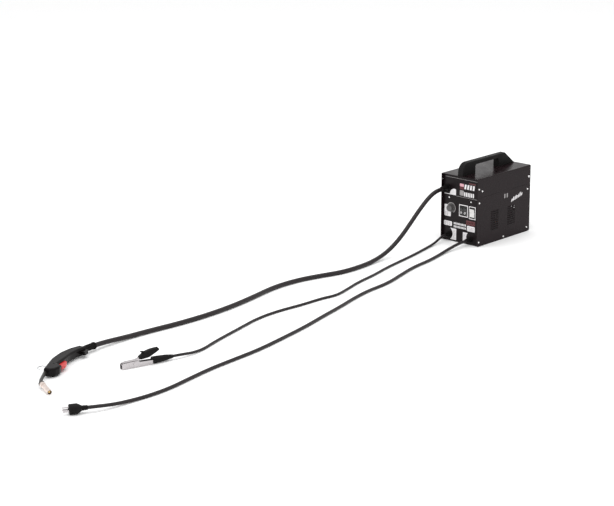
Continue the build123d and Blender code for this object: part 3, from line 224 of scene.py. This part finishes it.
lay_cord("torch_lead", [
    (-66, -186, 203), (-66, -216, 203), (-66, -262, 185), (-67, -318, 145), (-69, -372, 98),
    (-70, -428, 55), (-69, -492, 24), (-63, -568, 9), (-52, -660, torch_lies),
    (-54, -755, torch_lies), (-82, -840, torch_lies), (-106, -935, torch_lies),
    (-108, -1050, torch_lies), (-84, -1165, torch_lies), (-63, -1290, torch_lies),
    (-54, -1420, torch_lies), (-60, -1550, torch_lies), (-74, -1655, torch_lies), (-79.5, -1745, 9),
    (-80, -1815, 13), (-77.5, -1858, 16), (-74.5, -1891, 17)],
    0.016, "torch_cable", length=1.773, far_end="tool", stiffness="stiff",
    with_pieces=[nodes["torch_gland"], nodes["torch_sleeve"]])
lay_cord("earth_lead", [
    (-57, -172, 24), (-57, -190, 24), (-56, -214, 14), (-50, -256, 5.3), (-37, -312, earth_lies),
    (-16, -400, earth_lies), (2, -500, earth_lies), (19, -597, earth_lies), (46, -700, earth_lies),
    (62, -800, earth_lies), (92, -898, earth_lies), (108, -965, earth_lies),
    (95, -1025, earth_lies), (94, -1120, earth_lies), (82, -1218, earth_lies),
    (86, -1325, earth_lies), (116, -1440, earth_lies), (134, -1512, earth_lies),
    (154, -1588, earth_lies), (178, -1660, earth_lies), (183, -1712, 7), (180.03, -1752.59, 11.8),
    (170.9, -1783.26, 11.8)],
    0.009, "earth_cable", length=1.647, far_end="tool", stiffness="medium",
    with_pieces=[nodes["earth_gland"], nodes["clamp_sleeve"]])
lay_cord("mains_lead", [
    (46, -176, 21), (46, -198, 21), (45, -238, 16.5), (44.5, -287, 8.2), (57, -345, mains_lies),
    (76, -425, mains_lies), (88, -528, mains_lies), (112, -618, mains_lies),
    (139, -708, mains_lies), (151, -775, mains_lies), (156, -850, mains_lies),
    (174, -940, mains_lies), (204, -1045, mains_lies), (231, -1160, mains_lies),
    (264, -1285, mains_lies), (290, -1420, mains_lies), (312, -1545, mains_lies),
    (320, -1660, mains_lies), (327, -1770, mains_lies), (345, -1880, mains_lies),
    (361, -1970, mains_lies), (363, -2055, mains_lies), (355, -2130, 6.5), (350, -2182, 10.5),
    (343, -2225.9, 15.9), (325.5, -2256.2, 15.9)],
    0.011, "mains_cord", length=2.120, far_end="plug", stiffness="medium",
    with_pieces=[nodes["mains_gland"], nodes["plug_body"], nodes["plug_pins"]])

# ---- sheet-metal case ----------------------------------------------------------------------------
# Folded steel: a base pan, a rear panel and a wrap-over cover whose right skirt laps a vented
# side panel. All powder-coated in a brownish black, screwed together from the sides and back.
case_coat = finish_of("case_powder_coat", (0.006, 0.003, 0.0038), (0.013, 0.007, 0.0085), (0.22, 0.34),
                      900, 0.00004, marks=0.05, specular=0.11)
dress(case_coat, "base_pan", "rear_panel", "top_cover", "right_side_panel", "left_side_panel")

# ---- side door -----------------------------------------------------------------------------------
# A flat steel door over the wire bay on the left, hung at the rear on two pressed hinges with
# their pins outside the wall, and opened by a moulded pull.
dress(case_coat, "wire_door")
zinc = finish_of("zinc_plate", (0.42, 0.43, 0.44), (0.60, 0.61, 0.62), (0.28, 0.5),
                 260, 0.00005, metallic=1.0, marks=0.3, marked=(0.75, 0.75, 0.76), clouds=40)
dress(zinc, "hinge_leaves")
moulded = finish_of("moulded_black", (0.003, 0.0025, 0.0025), (0.008, 0.007, 0.007), (0.45, 0.62),
                    1100, 0.00008, marks=0.10, specular=0.12)
dress(moulded, "door_pull")

# ---- carrying handle -----------------------------------------------------------------------------
# One moulding in fine-grained black plastic along the middle of the top, with hollow feet.
# It is fixed from inside the cover, so no screw shows on it.
dress(moulded, "carry_handle")

# ---- screws --------------------------------------------------------------------------------------
# Bright plated steel screws with a crossed recess. They hold the cover, the side panels,
# the rear panel and the control panel to each other.
bright = finish_of("bright_plate", (0.70, 0.69, 0.69), (0.86, 0.85, 0.85), (0.10, 0.24),
                   300, 0.00003, metallic=1.0, marks=0.2, marked=(0.5, 0.5, 0.5), clouds=50)
dress(bright, "case_screws")

# ---- control panel and its printed markings ------------------------------------------------------
# A recessed steel panel in near-black satin paint, covered by a thin printed foil: a light border
# line, a line across under the torch outlet, and plain blocks and bars.
panel_paint = finish_of("panel_foil", (0.005, 0.003, 0.0035), (0.011, 0.0075, 0.0085), (0.3, 0.45),
                        800, 0.00004, marks=0.06, specular=0.14)
dress(panel_paint, "front_panel")

# The panel's front face, and the gap that keeps print off the metal, in millimetres.
panel_face = -151
ink_gap = 0.02


def superellipse(cx, cz, width, height, power=10, points=40):
    """A rounded block: half width times |cos t| to 2/power, half height times |sin t| to 2/power."""
    t = np.linspace(0, 2 * np.pi, points, endpoint=False)
    x = cx + width / 2 * np.sign(np.cos(t)) * np.abs(np.cos(t)) ** (2 / power)
    z = cz + height / 2 * np.sign(np.sin(t)) * np.abs(np.sin(t)) ** (2 / power)
    return np.c_[x, z]


def printed(name, outlines, colour, place, thickness=0.15, body="case"):
    """Flat labels: each outline in millimetres is set at two depths, with a cap on each and a wall
    between. place turns (across, up, depth) columns into x, y, z."""
    mesh = bpy.data.meshes.new(name)
    points, faces = [], []
    for outline in outlines:
        start, n = sum(len(p) for p in points), len(outline)
        points += [np.c_[outline, np.full(n, ink_gap)], np.c_[outline, np.full(n, thickness)]]
        ring = np.arange(n)
        after = (ring + 1) % n
        faces += [list(start + n + ring), list(start + ring[::-1])]
        faces += (start + np.c_[ring, after, after + n, ring + n]).tolist()
    mesh.from_pydata((place(np.concatenate(points)) / 1000).tolist(), [], faces)
    mesh.materials.append(colour)
    piece = bpy.data.objects.new(name, mesh)
    bpy.context.collection.objects.link(piece)
    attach(piece, body)


def on_front(p):
    """Across the panel to x, up to z, and out of the panel towards -y."""
    return np.c_[p[:, 0], panel_face - p[:, 2], p[:, 1]]


def bars(x0, x1, z0, z1, count, lean=0.0, gap=0.35):
    """A row of upright bars: each is the share 1 - gap of its pitch wide, and leans the same way."""
    pitch = (x1 - x0) / count
    left = x0 + pitch * np.arange(count)
    wide = pitch * (1 - gap)
    return [np.array([(x, z0), (x + wide, z0), (x + wide + lean, z1), (x + lean, z1)]) for x in left]


def frame_lines(x0, x1, z0, z1, line):
    """Four strips round a rectangle, meeting at its corners."""
    return [np.array([(x0, z1 - line), (x1, z1 - line), (x1, z1), (x0, z1)]),
            np.array([(x0, z0), (x1, z0), (x1, z0 + line), (x0, z0 + line)]),
            np.array([(x0, z0 + line), (x0 + line, z0 + line), (x0 + line, z1 - line), (x0, z1 - line)]),
            np.array([(x1 - line, z0 + line), (x1, z0 + line), (x1, z1 - line), (x1 - line, z1 - line)])]


def bitten(x0, x1, z0, z1, side, depth):
    """A block with one side hollowed: that side moves in by depth times sin of its height."""
    t = np.linspace(0, np.pi, 14)
    z = z0 + (z1 - z0) * t / np.pi
    inner = depth * np.sin(t) ** 0.8
    if side < 0:
        return np.concatenate([np.c_[np.array([x1, x1]), np.array([z0, z1])], np.c_[x0 + inner, z][::-1]])
    return np.concatenate([np.c_[np.array([x0, x0]), np.array([z1, z0])], np.c_[x1 - inner, z]])


ink_white = finish_of("white_ink", (0.62, 0.60, 0.61), (0.80, 0.78, 0.79), (0.35, 0.5),
                      500, 0.00002, marks=0.2, marked=(0.35, 0.34, 0.34))
ink_grey = finish_of("grey_ink", (0.20, 0.19, 0.19), (0.34, 0.32, 0.32), (0.35, 0.5),
                     500, 0.00002, marks=0.2)
ink_red = finish_of("red_ink", (0.055, 0.007, 0.009), (0.12, 0.016, 0.02), (0.35, 0.5),
                    500, 0.00002, marks=0.2)
ink_pink = finish_of("pink_ink", (0.55, 0.25, 0.30), (0.75, 0.45, 0.50), (0.35, 0.5),
                     500, 0.00002, marks=0.2)


def outlet_swoosh(step_x, step_z, reach, drop):
    """A step under the torch outlet that runs down to the left: from its top corner x falls by
    reach times sin t and z by drop times 1 - cos t, then a thin tail goes on to the border."""
    t = np.linspace(0, np.pi / 2, 12)
    step = np.array([(-25, 180), (-25, 202), (-28, step_z), (step_x, step_z)])
    curve = np.c_[step_x - reach * np.sin(t), step_z - drop * (1 - np.cos(t))]
    tail = np.array([(-80, 181.5), (-80, 179.5)])
    return np.concatenate([step, curve, tail])[::-1]


printed("panel_white_blocks",
        [outlet_swoosh(-32, 204, 22, 21.5),
         superellipse(-63.5, 116.5, 31, 45), superellipse(-61, 66.5, 38, 18), superellipse(48.5, 62, 37, 21),
         bitten(-50, -21, 6, 50, -1, 12), bitten(11, 34, 10, 44, 1, 7)],
        ink_white, on_front)
upper_rows = bars(14, 66, 211, 229, 4, lean=3) + bars(14, 63, 183, 199, 6)
middle_rows = bars(-33, 27, 67, 75, 9) + bars(-33, 27, 55, 63, 9)
switch_frames = frame_lines(-9, 33, 103, 149, 3.2) + frame_lines(38.5, 69.5, 100, 149, 2.8)
red_block_row = bars(28, 65, 81, 87, 5, gap=0.6)
printed("panel_white_bars", upper_rows + middle_rows + switch_frames + red_block_row, ink_white, on_front)
printed("panel_grey_lines",
        [np.array([(-76, 246.3), (80, 246.3), (80, 247.6), (-76, 247.6)]),
         np.array([(-24, 177.6), (80, 177.6), (80, 178.8), (-24, 178.8)]),
         superellipse(2.5, 194, 19, 20)], ink_grey, on_front)
print_rows = [bars(-77, -46, z, z + 1.6, 3, gap=0.25) for z in (61, 65.5, 70)]
print_rows += [bars(33, 64, z, z + 1.6, 4, gap=0.2) for z in (55, 60, 65)]
print_rows += [bars(-35, -24, z, z + 1.4, 2, gap=0.3) for z in range(12, 46, 5)]
print_rows += [bars(14, 24, z, z + 1.4, 2, gap=0.3) for z in range(16, 41, 5)]
print_rows += [bars(-77, -58, z, z + 1.6, 2, gap=0.3) for z in (98, 103, 108)]
printed("panel_small_print", [bar for row in print_rows for bar in row], ink_grey, on_front, thickness=0.3)
printed("panel_red_blocks",
        [superellipse(2.5, 213, 19, 10), superellipse(46.5, 84, 43, 17), superellipse(52, 235, 32, 5)],
        ink_red, on_front)
printed("panel_pink_block", [superellipse(2.5, 224, 19, 11)], ink_pink, on_front)

# ---- side markings -------------------------------------------------------------------------------
# Plain shapes printed on the powder coat above the louvres: a small pair of grey blocks,
# and a rising burst of white slanted bars.
side_face = 86.5


def on_right(p):
    """Across the side to y, up to z, and out of it towards +x."""
    return np.c_[side_face + p[:, 2], p[:, 0], p[:, 1]]


def burst_bar(k):
    """One slanted bar: each starts 10 further along and 2.2 higher, and the tops go up and down."""
    y, z = 44 + 10 * k, 136 + 2.2 * k
    far_top = z + 12 + (k % 3) * 3.5
    near_top = z + 11 + (k % 2) * 4
    return np.array([(y, z), (y + 7.5, z + 1.5), (y + 10, far_top), (y + 3, near_top)])


printed("side_marks", [superellipse(4, 167, 7, 17, 6), superellipse(19, 167, 7, 17, 6)], ink_grey, on_right)
printed("side_burst", [burst_bar(k) for k in range(7)], ink_white, on_right)

# ---- glands --------------------------------------------------------------------------------------
# Strain reliefs moulded in black plastic, each with a flange, a hexagon and a tapered nose.
# They go through the panel and are held by a nut behind it.
dress(moulded, "torch_gland", "earth_gland", "mains_gland")

# ---- wire speed knob -----------------------------------------------------------------------------
# A ribbed dark grey moulded knob with a pointer groove, pressed on the shaft of a potentiometer
# that is nutted to the panel, with a grey dial ring printed round it.
knob_grey = finish_of("knob_grey", (0.05, 0.047, 0.047), (0.11, 0.105, 0.105), (0.3, 0.45),
                      900, 0.00006, marks=0.1)
dress(knob_grey, "speed_knob")
dress(zinc, "potentiometer")


def arc_strip(cy, cz, radius, line, start, end):
    """A bent strip: points at radius and radius + line, from the start angle to the end angle."""
    a = np.radians(np.linspace(start, end, 16))
    outer = np.c_[cy + (radius + line) * np.cos(a), cz + (radius + line) * np.sin(a)]
    inner = np.c_[cy + radius * np.cos(a), cz + radius * np.sin(a)]
    return np.concatenate([outer, inner[::-1]])


def dial_ring(cx, cz, inner, outer):
    """Two bent strips that meet at the top, open below, from an inner to an outer radius."""
    line = outer - inner
    return [arc_strip(cx, cz, inner, line, -60, 90), arc_strip(cx, cz, inner, line, 90, 240)]


printed("dial_ring", dial_ring(-46, 129, 17.2, 20.5), ink_grey, on_front, thickness=0.25)

# ---- rocker switches -----------------------------------------------------------------------------
# Glossy plastic rockers in snap-in housings: two narrow black ones for the heat setting,
# with printed marks on their caps, and a wide light one for the mains.
switch_black = finish_of("switch_black", (0.012, 0.012, 0.012), (0.022, 0.021, 0.021), (0.2, 0.32),
                         600, 0.00004, marks=0.1)
switch_light = finish_of("switch_light", (0.55, 0.54, 0.53), (0.72, 0.71, 0.70), (0.2, 0.32),
                         600, 0.00004, marks=0.1, marked=(0.4, 0.4, 0.4))
dress(switch_black, "rocker_housings", "range_rocker", "step_rocker")
dress(switch_light, "power_rocker")


# The cap's middle height, how far it stands out there, and how far it comes forward for each
# millimetre above and below the middle.
cap_middle = 126
cap_stands = 1.2
upper_slope = 0.081
lower_slope = 0.2525


def on_rocker(p):
    """Across to x, up to z, and out of the cap's two slopes, which both rise from its middle."""
    rise = p[:, 1] - cap_middle
    lift = cap_stands + np.where(rise > 0, upper_slope * rise, -lower_slope * rise)
    return np.c_[p[:, 0], panel_face - lift - p[:, 2] - ink_gap, p[:, 1]]


def rocker_marks(cx):
    """A short bar in the upper half and a flat ring of two strips in the lower half."""
    bar = superellipse(cx, 132.5, 6.5, 6, 4)
    return [bar, arc_strip(cx, 119, 2.2, 1.5, 0, 180), arc_strip(cx, 119, 2.2, 1.5, 180, 360)]


for rocker, cx in (("range_rocker", 3), ("step_rocker", 21)):
    printed(rocker + "_marks", rocker_marks(cx), ink_white, on_rocker, body=rocker)

# ---- inside: divider, board, transformer, fan ----------------------------------------------------
# A plated divider carries the electronics; behind it stand the laminated transformer with its
# varnished copper coils and a shrouded fan on the rear panel.
dress(zinc, "divider_plate", "fan_motor")
board_green = finish_of("board_green", (0.02, 0.10, 0.035), (0.04, 0.17, 0.06), (0.25, 0.4),
                        420, 0.00006, marks=0.2, marked=(0.55, 0.5, 0.3))
dress(board_green, "control_board")
core_steel = finish_of("core_laminations", (0.10, 0.10, 0.11), (0.18, 0.18, 0.19), (0.4, 0.6),
                       180, 0.00012, metallic=1.0, marks=0.4, marked=(0.25, 0.12, 0.06))
dress(core_steel, "transformer_core")
varnished_copper = finish_of("varnished_copper", (0.40, 0.14, 0.06), (0.62, 0.26, 0.12), (0.2, 0.35),
                             240, 0.0001, metallic=1.0, coat=0.5, marks=0.2)
dress(varnished_copper, "transformer_windings")
dress(moulded, "fan_shroud", "fan_rotor")

# ---- inside: wire feed and spool -----------------------------------------------------------------
# A geared motor turns a grooved steel roll; a sprung arm with a dial presses an idler on the wire.
# The spool hangs on a plastic spindle and holds close-wound steel wire.
grey_plastic = finish_of("grey_moulding", (0.20, 0.21, 0.22), (0.32, 0.33, 0.34), (0.4, 0.6),
                         900, 0.00008, marks=0.2)
dress(zinc, "feed_motor")
dress(bright, "drive_roll", "pressure_roll")
dress(grey_plastic, "feeder_base", "pressure_arm", "spool_spindle")
red_plastic = finish_of("red_moulding", (0.42, 0.010, 0.012), (0.60, 0.022, 0.022), (0.22, 0.36),
                        800, 0.00005, marks=0.15, marked=(0.7, 0.25, 0.22))
dress(red_plastic, "tension_knob")
dress(moulded, "spool")
wound_wire = finish_of("wound_wire", (0.34, 0.30, 0.27), (0.56, 0.50, 0.45), (0.25, 0.45),
                       1400, 0.0002, metallic=1.0, marks=0.3)
dress(wound_wire, "wire_coil")

# ---- torch ---------------------------------------------------------------------------------------
# Two glossy black grip halves screwed together round the switch, a red trigger, a bent metal neck
# with a drawn copper-alloy nozzle and a brass tip in it, a wire hanger and a ribbed rear sleeve.
grip_black = finish_of("grip_black", (0.003, 0.0022, 0.0025), (0.007, 0.0055, 0.006), (0.2, 0.36),
                       900, 0.00005, marks=0.06, specular=0.1)
dress(grip_black, "torch_shell_upper", "torch_shell_lower", "torch_clip")
dress(red_plastic, "torch_trigger")
dress(grey_plastic, "trigger_switch")
dress(moulded, "torch_sleeve")
dress(zinc, "torch_hook")
neck_sleeve = finish_of("neck_sleeve", (0.010, 0.009, 0.008), (0.028, 0.025, 0.021), (0.25, 0.42),
                        300, 0.00006, marks=0.3, specular=0.35)
dress(neck_sleeve, "torch_neck")
nozzle_metal = finish_of("nozzle_metal", (0.66, 0.55, 0.50), (0.86, 0.76, 0.71), (0.2, 0.36),
                         260, 0.00004, metallic=1.0, marks=0.35, marked=(0.45, 0.32, 0.26), clouds=60)


def paint_bore_shade(material, start, way, radius):
    """Paint shade inside a bore: the material turns near black and loses its metal where a point's distance
    from the bore's middle line, the length of the cross product of (point - start) and way, is under the
    radius."""
    tree = material.node_tree
    shader = tree.nodes["Principled BSDF"]
    place = tree.nodes.new("ShaderNodeTexCoord")
    offset, across, distance = (tree.nodes.new("ShaderNodeVectorMath") for _ in range(3))
    offset.operation, across.operation, distance.operation = "SUBTRACT", "CROSS_PRODUCT", "LENGTH"
    offset.inputs[1].default_value = start
    across.inputs[1].default_value = way
    inside = tree.nodes.new("ShaderNodeMath")
    inside.operation = "LESS_THAN"
    inside.inputs[1].default_value = radius
    # Painted shade: near black inside the bore, standing for the shade in the hole.
    painted_bore_shade = mix_colour(tree, (0, 0, 0), (0.012, 0.009, 0.007))
    shine = tree.nodes.new("ShaderNodeMath")
    shine.operation = "SUBTRACT"
    shine.inputs[0].default_value = 1.0
    wire(tree, place, "Object", offset, 0)
    wire(tree, offset, "Vector", across, 0)
    wire(tree, across, "Vector", distance, 0)
    wire(tree, distance, "Value", inside, 0)
    wire(tree, inside, "Value", painted_bore_shade, "Factor")
    tree.links.new(shader.inputs["Base Color"].links[0].from_socket, painted_bore_shade.inputs[MIX_A])
    wire(tree, painted_bore_shade, MIX_OUT, shader, "Base Color")
    # Metal is switched off inside the bore, so the painted shade shows no reflection.
    wire(tree, inside, "Value", shine, 1)
    wire(tree, shine, "Value", shader, "Metallic")


# A point on the nozzle's middle line, the line's direction, and a radius just over its bore's. Inside that
# radius the nozzle is painted near black and not metallic, as painted shade.
nozzle_point = (0.075318, -2.220009, 0.014459)
nozzle_way = (0.9436, -0.3189, -0.0892)
nozzle_bore = 0.0066
paint_bore_shade(nozzle_metal, nozzle_point, nozzle_way, nozzle_bore)
dress(nozzle_metal, "torch_nozzle")
tip_brass = finish_of("tip_brass", (0.50, 0.32, 0.12), (0.70, 0.48, 0.2), (0.2, 0.35),
                      300, 0.00004, metallic=1.0, marks=0.2)
dress(tip_brass, "contact_tip")

# ---- earth clamp ---------------------------------------------------------------------------------
# A plated pressed-steel channel with a riveted lever jaw, a sprung pivot, and black rubber sleeves.
pressed = finish_of("pressed_plate", (0.36, 0.34, 0.345), (0.64, 0.61, 0.62), (0.18, 0.36),
                    240, 0.00005, metallic=1.0, marks=0.5, marked=(0.25, 0.24, 0.24), clouds=70)
dress(pressed, "clamp_body", "clamp_lever", "clamp_rivet")
dress(zinc, "clamp_spring")
dress(moulded, "clamp_sleeve", "clamp_grip")

# ---- mains plug ----------------------------------------------------------------------------------
# A plug moulded on the end of the mains lead in black plastic, with a ribbed relief,
# a round body and three plated pins set in its face.
dress(moulded, "plug_body")
dress(pressed, "plug_pins")

# ---- floor and light -----------------------------------------------------------------------------
# A plain pale floor that runs far past the view, under two large soft lamps and
# an even white sky that gives most of the light.
floor_half = 30
floor_corners = [(-floor_half, -floor_half, 0), (floor_half, -floor_half, 0),
                 (floor_half, floor_half, 0), (-floor_half, floor_half, 0)]
floor_mesh = bpy.data.meshes.new("floor")
floor_mesh.from_pydata(floor_corners, [], [(0, 1, 2, 3)])
floor_paint = bpy.data.materials.new("floor_paint")
floor_paint.use_nodes = True
floor_shader = floor_paint.node_tree.nodes["Principled BSDF"]
floor_shader.inputs["Base Color"].default_value = (0.93, 0.93, 0.93, 1)
floor_shader.inputs["Roughness"].default_value = 0.7
floor_shader.inputs["Specular IOR Level"].default_value = 0.2
floor_mesh.materials.append(floor_paint)
floor = bpy.data.objects.new("floor", floor_mesh)
bpy.context.collection.objects.link(floor)

world = bpy.data.worlds.new("studio")
world.use_nodes = True
sky = world.node_tree.nodes["Background"]
sky.inputs["Color"].default_value = (1, 1, 1, 1)
sky.inputs["Strength"].default_value = 1.0
bpy.context.scene.world = world


def soft_lamp(name, place, target, size, watts):
    """A square area lamp at place that faces target."""
    lamp = bpy.data.objects.new(name, bpy.data.lights.new(name, "AREA"))
    lamp.data.size = size
    lamp.data.energy = watts
    lamp.location = place
    lamp.rotation_euler = (Vector(target) - Vector(place)).to_track_quat("-Z", "Y").to_euler()
    bpy.context.collection.objects.link(lamp)


soft_lamp("overhead", (0.5, -1.2, 4.5), (0.1, -1.0, 0), 5.0, 120)
soft_lamp("front_left", (-3.0, -5.0, 3.0), (0, -1.0, 0.1), 3.0, 60)
